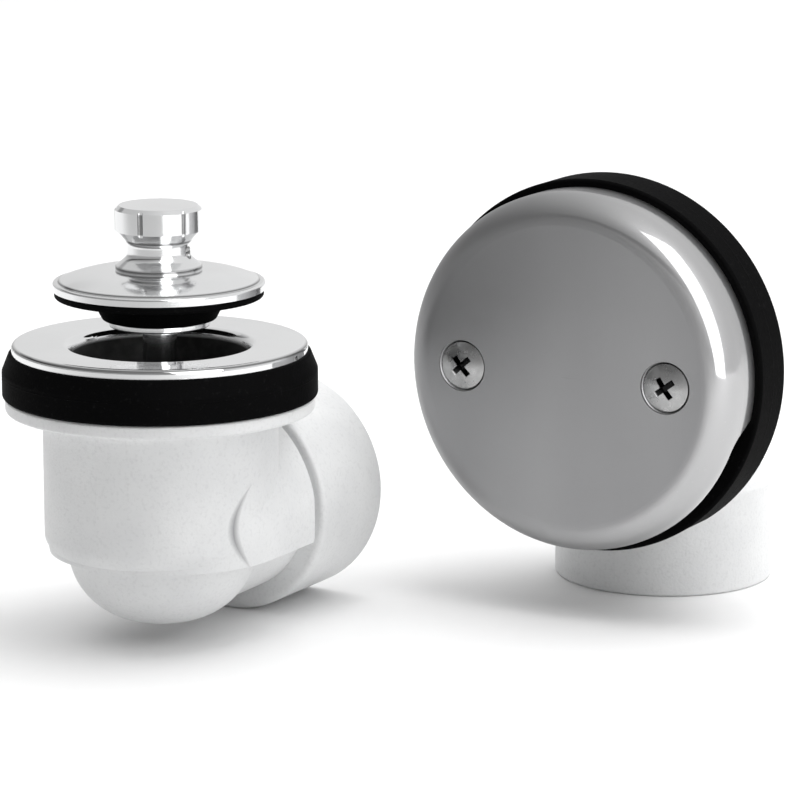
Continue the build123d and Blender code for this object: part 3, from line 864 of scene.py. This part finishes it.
class BATHSET_OT_screws(bpy.types.Operator):
    """Make the faceplate's threaded screws and finish their brass inserts"""

    bl_idname = "bath_set.screws"
    bl_label = "Screws and inserts"

    def execute(self, context):
        finishes = context.scene.bath_finishes
        screws = context.scene.bath_screws
        for side, turn in zip(SIDES, screws.recess_turns):
            node = "faceplate_screw_" + side
            low, high = ends(node)
            mesh = cut_out(screw_solid(screws, low, high), recess_cutter(screws, low, high, turn))
            steel = bright_steel("screw_steel_" + side, finishes, recess_finder(screws, low, high))
            piece = smooth_piece("screw_" + side, mesh, steel, SHARP_EDGE)
            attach(piece, FIXED)
            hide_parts(node)
            wear("screw_insert_" + side, turned_brass("insert_brass_" + side, finishes))
        return {"FINISHED"}


class BATHSET_OT_stage(bpy.types.Operator):
    """Lay the floor, hang the lights and place the camera"""

    bl_idname = "bath_set.stage"
    bl_label = "Stage"

    # Places and sizes of the softboxes, in metres; the streak's place is from the faceplate's middle
    TOP_PLACE = Vector((0.1, 1.0, 2.0))
    TOP_SIZE = (4.0, 4.0)
    STREAK_OFFSET = Vector((0.42, -0.31, 0.29))
    STREAK_SIZE = (0.42, 0.95)
    RIGHT_PLACE = Vector((1.1, 0.05, 0.5))
    HIGH_PLACE = Vector((0.3, 0.1, 1.2))
    FILL_SIZE = (0.8, 0.8)

    # Where the surround brightens and its seam darkens, by how much it faces the bright side
    SKY_TURN = (-0.35, 0.65)
    SEAM_TURN = (0.55, -0.05)
    SEAM_FADE = 0.02

    def execute(self, context):
        scene = context.scene
        stage = scene.bath_stage
        half = stage.floor_size / 2
        floor = self.sheet("floor", [(-half, -half, 0), (half, -half, 0), (half, half, 0), (-half, half, 0)])
        floor.data.materials.append(pale_floor("pale_floor", scene.bath_finishes))
        self.light_sky(scene, stage)
        target = Vector(stage.target)
        below = self.TOP_PLACE * Vector(ACROSS_Z)
        plate = middle("overflow_faceplate")
        beside = plate + self.STREAK_OFFSET
        top = self.hang_light("top_softbox", self.TOP_PLACE, below, self.TOP_SIZE, stage.top_power)
        streak = self.hang_light("streak_softbox", beside, plate, self.STREAK_SIZE, stage.streak_power)
        right = self.hang_light("right_softbox", self.RIGHT_PLACE, target, self.FILL_SIZE, stage.right_power)
        high = self.hang_light("high_softbox", self.HIGH_PLACE, target, self.FILL_SIZE, stage.high_power)
        for fill in (top, right, high):
            fill.visible_glossy = False
        streak.visible_diffuse = False
        self.place_camera(scene, stage, target)
        scene.view_settings.view_transform = "Standard"
        return {"FINISHED"}

    @staticmethod
    def sheet(name, corners):
        """A flat sheet of the stage."""
        mesh = bpy.data.meshes.new(name)
        mesh.from_pydata(corners, [], [(0, 1, 2, 3)])
        sheet = bpy.data.objects.new(name, mesh)
        bpy.context.scene.collection.objects.link(sheet)
        return sheet

    def light_sky(self, scene, stage):
        """A pale surround like a light tent's, brightest behind, with a dark seam round its front."""
        shader = Shader(bpy.data.worlds.new("studio"))
        direction = shader.node("ShaderNodeTexCoord", output=Shader.GENERATED)
        facing = shader.node(
            "ShaderNodeVectorMath",
            {"operation": "DOT_PRODUCT"},
            {0: direction, 1: Vector(stage.sky_side).normalized()},
            output=Shader.NUMBER_RESULT,
        )
        height = shader.node("ShaderNodeSeparateXYZ", None, {0: direction}, output=Z)
        wall = shader.fade(facing, *self.SKY_TURN) * (stage.sky_high - stage.sky_low) + stage.sky_low
        low, high = math.sin(stage.seam_low), math.sin(stage.seam_high)
        above_foot = shader.fade(height, low, low + self.SEAM_FADE)
        below_top = shader.fade(height, high, high - self.SEAM_FADE)
        seam = above_foot * below_top * shader.fade(facing, *self.SEAM_TURN)
        light = wall * (1.0 - seam * stage.seam_depth)
        white = opaque((1.0, 1.0, 1.0))
        surround = shader.node("ShaderNodeBackground", None, {"Color": white, "Strength": light})
        scene.world = shader.finish("ShaderNodeOutputWorld", surround)

    @staticmethod
    def hang_light(name, place, target, size, power):
        """A rectangular softbox at a place, turned to the target."""
        light = bpy.data.lights.new(name, "AREA")
        light.shape = "RECTANGLE"
        light.size, light.size_y = size
        light.energy = power
        lamp = bpy.data.objects.new(name, light)
        lamp.location = place
        lamp.visible_camera = False
        lamp.rotation_euler = (target - place).to_track_quat("-Z", "Y").to_euler()
        bpy.context.scene.collection.objects.link(lamp)
        return lamp

    @staticmethod
    def place_camera(scene, stage, target):
        """The photograph's viewpoint."""
        level = math.cos(stage.elevation)
        sideways, ahead = math.sin(stage.azimuth) * level, -math.cos(stage.azimuth) * level
        back = Vector((sideways, ahead, math.sin(stage.elevation)))
        lens = bpy.data.cameras.new("camera")
        lens.lens = stage.lens
        camera = bpy.data.objects.new("camera", lens)
        camera.location = target + back * stage.distance
        camera.rotation_euler = (-back).to_track_quat("-Z", "Y").to_euler()
        scene.collection.objects.link(camera)
        scene.camera = camera


OPERATORS = (
    BATHSET_OT_fittings,
    BATHSET_OT_rubber,
    BATHSET_OT_strainer,
    BATHSET_OT_stopper,
    BATHSET_OT_faceplate,
    BATHSET_OT_screws,
    BATHSET_OT_stage,
)
SETTINGS = {"bath_finishes": BathSetFinishes, "bath_screws": BathSetScrews, "bath_stage": BathSetStage}


class BATHSET_PT_panel(bpy.types.Panel):
    """Lists the set's pieces, its stage and their settings"""

    bl_idname = "BATHSET_PT_panel"
    bl_label = "Bath waste and overflow"
    bl_space_type = "VIEW_3D"
    bl_region_type = "UI"
    bl_category = "Bath set"

    def draw(self, context):
        for operator in OPERATORS:
            self.layout.operator(operator.bl_idname)
        for name, group in SETTINGS.items():
            box = self.layout.box()
            for setting in group.__annotations__:
                box.prop(getattr(context.scene, name), setting)


CLASSES = (*SETTINGS.values(), *OPERATORS, BATHSET_PT_panel)


def register():
    """Registers the classes and hangs their settings on the scene."""
    for cls in CLASSES:
        bpy.utils.register_class(cls)
    for name, group in SETTINGS.items():
        setattr(bpy.types.Scene, name, PointerProperty(type=group))


def unregister():
    """Takes the settings and the classes away again."""
    for name in SETTINGS:
        delattr(bpy.types.Scene, name)
    for cls in reversed(CLASSES):
        bpy.utils.unregister_class(cls)


def main():
    """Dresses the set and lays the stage."""
    register()
    bpy.ops.bath_set.fittings()
    bpy.ops.bath_set.rubber()
    bpy.ops.bath_set.strainer()
    bpy.ops.bath_set.stopper()
    bpy.ops.bath_set.faceplate()
    bpy.ops.bath_set.screws()
    bpy.ops.bath_set.stage()


if __name__ == "__main__":
    main()
